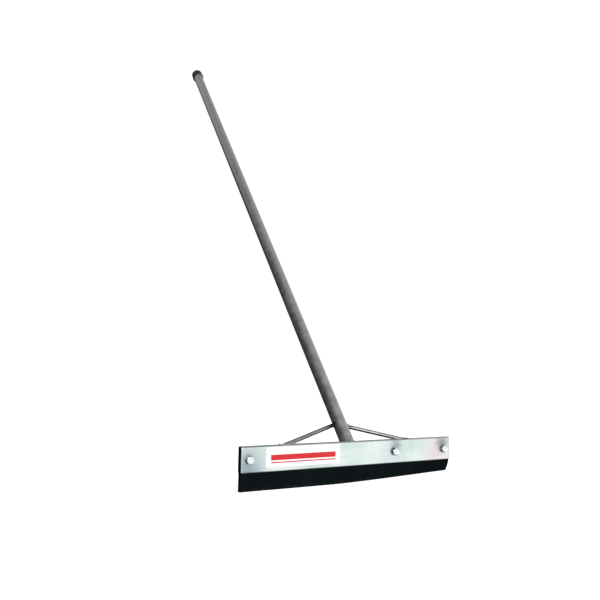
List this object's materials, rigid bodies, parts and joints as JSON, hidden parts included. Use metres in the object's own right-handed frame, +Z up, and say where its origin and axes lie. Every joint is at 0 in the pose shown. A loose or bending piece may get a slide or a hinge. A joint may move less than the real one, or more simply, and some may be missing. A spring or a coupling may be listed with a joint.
{
  "type": "floor squeegee",
  "caption": "Floor squeegee: folded steel head channel clamping a thick rubber blade, with a long braced tube handle and a domed end cap.",
  "frame": {"origin": "middle of the rubber blade's wiping edge, which is the object's lowest face", "axes": "+X along the head to its right end, -Y is the front of the head, the handle leans back towards +Y, +Z up from the floor"},
  "size_m": [0.6, 1.2425, 1.5188],
  "materials": {
    "galvanised_sheet": "pale galvanised sheet, satin with soft cloudy spangle",
    "black_rubber": "matt black moulded rubber",
    "zinc_fastener": "bright zinc plating",
    "grey_tube": "grey galvanised tube, dull and faintly mottled",
    "black_plastic": "black moulded plastic, lightly scuffed",
    "bar_steel": "grey galvanised round bar",
    "weld": "rippled weld bead under zinc-rich grey coating",
    "label": "white vinyl label with plain red stripes"
  },
  "bodies": {
    "root": {"head_channel": "galvanised_sheet", "rubber_blade": "black_rubber", "clamp_bolts": "zinc_fastener", "rear_washers": "zinc_fastener", "clamp_nuts": "zinc_fastener", "handle_tube": "grey_tube", "end_cap": "black_plastic", "left_stay": "bar_steel", "right_stay": "bar_steel", "handle_weld": "weld", "left_stay_top_weld": "weld", "right_stay_top_weld": "weld", "left_stay_foot_weld": "weld", "right_stay_foot_weld": "weld", "front_label": "label"}
  },
  "joints": []
}
